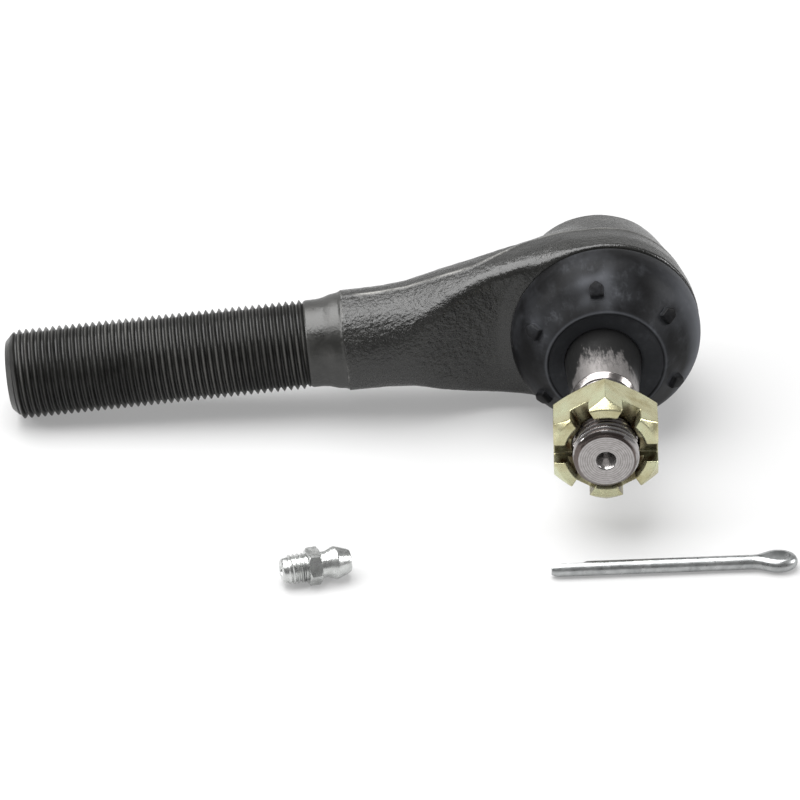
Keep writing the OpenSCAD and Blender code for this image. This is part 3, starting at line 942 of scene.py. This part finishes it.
def build_nut():
    """The castle nut, turned and set on the stud."""
    step = 0.16
    p, f = net(nut_field, (-13.3, -13.3, -0.6), (13.3, 13.3, NUT_H + 0.6), step)
    spin = turn("Z", NUT_TURN)
    p = p @ spin.T
    p[:, 2] += NUT_S
    o = mesh_object("castle_nut_detailed", placed(p, STUD), f, 60)
    o.data.materials.append(MAT["nut"])
    q = local_points(o, STUD) @ spin
    q[:, 2] -= NUT_S
    r = np.hypot(q[:, 0], q[:, 1])
    # Painted shade: the bore and the slots' walls darkened as if in shadow.
    inside = np.clip((9.0 - r) / 0.5, 0, 1) * np.clip((NUT_H - 0.3 - q[:, 2]) / 0.8, 0, 1)
    slot = np.zeros(len(q))
    for a in HEX_TURNS:
        slot = np.maximum(slot, (beside(q, a) < SLOT_W / 2 + 0.03) & (q[:, 2] > NUT_H - SLOT_D - 0.03)
                          & (q[:, 2] < NUT_H - 0.15))
    fade = np.clip((12.9 - r) / 3.0, 0.6, 1)
    dark = np.maximum(inside, slot * fade) * (0.75 + 0.25 * ripple(q, 31, 3))
    set_attribute(o, "recess", np.clip(dark, 0, 1))
    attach(o, "nut")
    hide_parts("castle_nut")


# ---------------------------------------------------------------- cotter pin
# Half the gap between the legs, how far before the eye's middle they part, and where round the eye
# the wire starts and how far it goes.
HALF_GAP = 0.05
LEGS_PART = 5.4
EYE_START = math.radians(232)
EYE_SWEEP = math.radians(256)


def bridge(first, first_way, last, last_way):
    """Points of a smooth curve between two points, given its direction at each, without its ends."""
    gap = np.linalg.norm(last - first)
    points = []
    for t in np.linspace(0, 1, 14)[1:-1]:
        h = (2 * t ** 3 - 3 * t * t + 1, t ** 3 - 2 * t * t + t, -2 * t ** 3 + 3 * t * t, t ** 3 - t * t)
        points.append(h[0] * first + h[1] * gap * first_way + h[2] * last + h[3] * gap * last_way)
    return np.array(points)


def cotter_path():
    """The wire's middle line: up the longer leg, round the eye and back down the shorter leg."""
    eye_x = COTTER_L - EYE_L / 2
    inner_a, inner_b = EYE_L / 2 - WIRE_R, EYE_W / 2 - WIRE_R
    leg_x = eye_x - LEGS_PART

    def eye(a):
        return np.array([eye_x + inner_a * math.cos(a), inner_b * math.sin(a), 0])

    def eye_way(a):
        way = np.array([inner_a * -math.sin(a), inner_b * math.cos(a), 0])
        return way / np.linalg.norm(way)

    stop = EYE_START + EYE_SWEEP
    ahead = np.array([1, 0, 0])
    longer = np.array([(x, -HALF_GAP, 0) for x in np.linspace(0.0, leg_x, 40)])
    loop = np.array([eye(a) for a in np.linspace(EYE_START, stop, 60)])
    shorter = np.array([(x, HALF_GAP, 0) for x in np.linspace(leg_x, COTTER_STEP, 36)])
    into = bridge(longer[-1], ahead, loop[0], eye_way(EYE_START))
    out_of = bridge(loop[-1], eye_way(stop), shorter[0], -ahead)
    return np.concatenate([longer, into, loop, out_of, shorter])


def build_cotter():
    """The split pin: half-round wire swept along its middle line, a little slimmer at its ends."""
    path = cotter_path()
    tangent = np.gradient(path, axis=0)
    tangent /= np.linalg.norm(tangent, axis=1)[:, None]
    side = np.stack([tangent[:, 1], -tangent[:, 0], np.zeros(len(path))], 1)
    arc = np.linspace(math.radians(-90), math.radians(90), 15)
    outline = [(0.0, y) for y in np.linspace(WIRE_R * 0.93, -WIRE_R * 0.93, 7)]
    outline += [(WIRE_R * math.cos(t) * 0.985, WIRE_R * math.sin(t) * 0.985) for t in arc]
    outline = np.array(outline)
    along = np.concatenate([[0], np.cumsum(np.linalg.norm(np.diff(path, axis=0), axis=1))])
    near_end = np.minimum(along, along[-1] - along)
    size = 0.72 + 0.28 * np.minimum(1, near_end / 0.9) ** 0.5
    up = np.array([0, 0, 1])
    rings = [at + (outline[:, :1] * way + outline[:, 1:] * up) * k for at, way, k in zip(path, side, size)]
    p, f = lattice(np.array(rings))
    n = len(outline)
    f.append(tuple(range(n - 1, -1, -1)))
    f.append(tuple(range(len(p) - n, len(p))))
    o = mesh_object("cotter_pin_detailed", placed(p, COTTER, COTTER_AT), f, 40)
    o.data.materials.append(MAT["cotter"])
    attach(o, "cotter")
    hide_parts("cotter_pin")


# ---------------------------------------------------------------- grease fitting
def fitting_hexagon():
    """The fitting's hexagon, its corners chamfered by a cone at each end."""
    low, high = FIT_HEX
    a = np.linspace(0, 2 * math.pi, 120, endpoint=False)
    flats = FIT_AF / 2 / np.cos((a + math.radians(30)) % math.radians(60) - math.radians(30))
    heights = np.concatenate([np.linspace(low, low + 0.5, 9), np.linspace(low + 0.6, high - 0.6, 4),
                              np.linspace(high - 0.5, high, 9)])
    rows = [circle(FIT_CORE_R, low, a)]
    for s in heights:
        cone = 3.42 + min(s - low, high - s) * 1.5
        rows.append(circle(np.minimum(flats, cone), s, a))
    rows.append(circle(FIT_CORE_R, high, a))
    return lattice(np.array(rows))


def build_fitting():
    """The grease fitting's body: lead, thread, neck, hexagon and nose."""
    crest_r = FIT_R - 0.02
    pitch = 0.907
    thread_start = 1.15

    def limit(s):
        return np.minimum(crest_r, 2.58 + np.clip(s - thread_start, 0, 9) * 0.9)

    thread = helix(thread_profile(crest_r, 0.5, pitch), pitch, thread_start, 4.75, limit, 96)
    lead = turned([(0.95, 0.9), (1.05, 0.1), (1.2, 0.0), (2.1, 0.0), (2.45, 0.25), (2.58, 0.6),
                   (FIT_CORE_R, 1.2)], 96, 0.12, 3)
    nose = turned([(FIT_CORE_R, 8.2), (2.76, 8.32), (2.76, 9.6), (3.05, 10.3), (3.42, 11.3), (3.5, 11.7),
                   (3.36, 12.1), (2.55, 14.3), (2.35, 14.7), (2.1, FIT_L), (1.15, FIT_L),
                   (0.9, FIT_L - 0.2), (0.85, FIT_L - 1.2)], 120, 0.3, 4)
    neck = turned([(2.72, 4.5), (2.72, 5.45)], 96)
    objects = []
    for i, (p, f) in enumerate((thread, lead, fitting_hexagon(), nose, neck)):
        o = mesh_object(f"fitting_{i}", placed(p, FITTING, FIT_AT), f, 38)
        o.data.materials.append(MAT["zinc"])
        objects.append(o)
    weld_objects("grease_fitting_detailed", objects, "fitting", "grease_fitting_body")


# ---------------------------------------------------------------- carried-over nodes
def finish_cad_nodes():
    """Materials and smooth shading for the pieces whose CAD shape is kept."""
    for node, which in (("upper_bearing", "polymer"), ("lower_bearing", "polymer"),
                        ("preload_spring", "spring"), ("cover_plate", "cover"),
                        ("boot_base_ring", "spring"), ("boot_neck_ring", "spring"),
                        ("grease_fitting_ball", "stud_end"), ("grease_fitting_spring", "spring")):
        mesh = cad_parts[node].data
        mesh.materials.clear()
        mesh.materials.append(MAT[which])
        for polygon in mesh.polygons:
            polygon.use_smooth = True
        mesh.set_sharp_from_angle(angle=math.radians(30))


# ---------------------------------------------------------------- stage
def area_light(name, at, target, size, power):
    """A white rectangular light aimed at a point."""
    data = bpy.data.lights.new(name, "AREA")
    data.shape = "RECTANGLE"
    data.size, data.size_y = size
    data.energy = power
    o = bpy.data.objects.new(name, data)
    o.location = at
    o.rotation_euler = (Vector(target) - Vector(at)).to_track_quat("-Z", "Y").to_euler()
    bpy.context.scene.collection.objects.link(o)


# Lengths here are in metres, except the lens and the sensor.
CAMERA_AT = (-0.07895, -0.63350, 0.37735)
CAMERA_AZIMUTH = math.radians(3.04)
CAMERA_DOWN = math.radians(32.11)
LENS_MM = 148.5
SENSOR_MM = 36
FLOOR_HALF = 3
FLOOR_DROP = 0.0001


def build_stage():
    """The pale floor, four soft white lights, the surroundings and the camera."""
    floor_z = -RIM_R * MM - FLOOR_DROP
    corners = [(x * FLOOR_HALF, y * FLOOR_HALF, floor_z) for x, y in ((-1, -1), (1, -1), (1, 1), (-1, 1))]
    mesh = bpy.data.meshes.new("floor")
    mesh.from_pydata(corners, [], [(0, 1, 2, 3)])
    floor = bpy.data.objects.new("floor", mesh)
    bpy.context.scene.collection.objects.link(floor)
    mat, nodes, links, shader = material("floor_white", (0.34, 0.34, 0.34), 0.6, 0.0, 0.2)
    shader.inputs["Emission Color"].default_value = (1, 1, 1, 1)
    shader.inputs["Emission Strength"].default_value = 0.3
    links.new(ramp(nodes, links, noise(nodes, links, 8, 2, 0.5), [(0.3, 0.33), (0.7, 0.35)]),
              shader.inputs["Base Color"])
    mesh.materials.append(mat)

    area_light("key_over", (-0.24, 0.07, 0.75), (-0.06, 0.0, 0.0), (0.92, 0.88), 16.2)
    area_light("backdrop", (-0.05, 1.0, 0.3), (-0.05, 0.0, 0.1), (1.8, 0.5), 1.9)
    area_light("side_left", (-0.8, -0.1, 0.4), (-0.03, -0.02, 0.0), (0.3, 0.4), 3.0)
    area_light("side_right", (0.8, -0.1, 0.4), (-0.03, -0.02, 0.0), (0.3, 0.4), 4.2)

    world = bpy.data.worlds.new("studio")
    bpy.context.scene.world = world
    world.use_nodes = True
    world.node_tree.nodes["Background"].inputs["Color"].default_value = (1, 1, 1, 1)
    world.node_tree.nodes["Background"].inputs["Strength"].default_value = 0.18

    camera = bpy.data.cameras.new("camera")
    camera.sensor_width = SENSOR_MM
    camera.lens = LENS_MM
    camera.clip_start = 0.01
    o = bpy.data.objects.new("camera", camera)
    bpy.context.scene.collection.objects.link(o)
    o.location = CAMERA_AT
    level = math.cos(CAMERA_DOWN)
    look = Vector((math.sin(CAMERA_AZIMUTH) * level, math.cos(CAMERA_AZIMUTH) * level,
                   -math.sin(CAMERA_DOWN)))
    o.rotation_euler = look.to_track_quat("-Z", "Y").to_euler()
    bpy.context.scene.camera = o
    bpy.context.scene.view_settings.view_transform = "Standard"


build_housing()
build_boot()
build_stud()
build_nut()
build_cotter()
build_fitting()
finish_cad_nodes()
build_stage()
